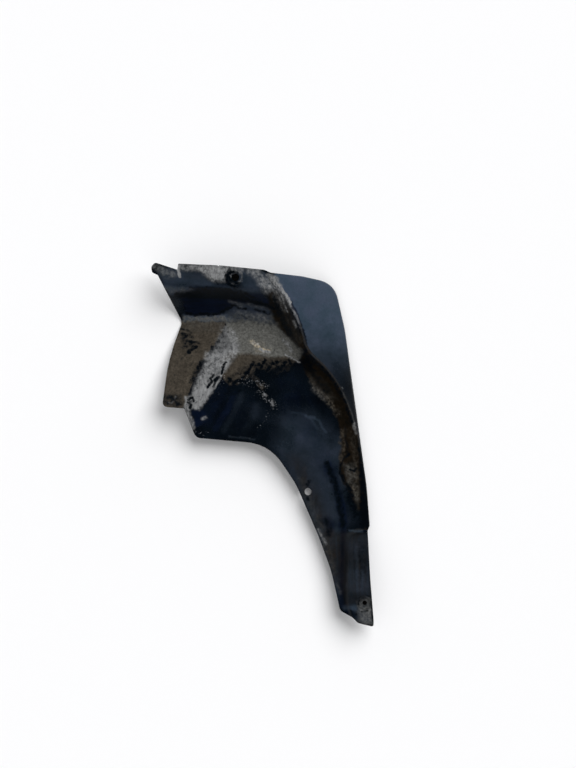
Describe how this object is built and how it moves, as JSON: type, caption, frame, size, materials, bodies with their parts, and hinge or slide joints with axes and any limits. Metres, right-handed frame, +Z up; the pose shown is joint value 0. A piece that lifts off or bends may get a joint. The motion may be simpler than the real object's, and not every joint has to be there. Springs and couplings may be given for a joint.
{
  "type": "rear mudguard",
  "caption": "Moulded plastic rear wheel mudguard shell with a flange, a smooth outer flap, a dished pan and a narrow tail with a screw pad.",
  "frame": {"origin": "centre of the bounding box in plan, on the surface that the part lies on", "axes": "+Z up, away from the surface that the part lies on; +Y from the tail end towards the flange edge; +X from the ear towards the flap"},
  "size_m": [0.2718, 0.4446, 0.0444],
  "materials": {
    "moulded_plastic": "satin black moulded polypropylene, used, dusty and scuffed"
  },
  "bodies": {
    "root": {"mudguard": "moulded_plastic"}
  },
  "joints": []
}
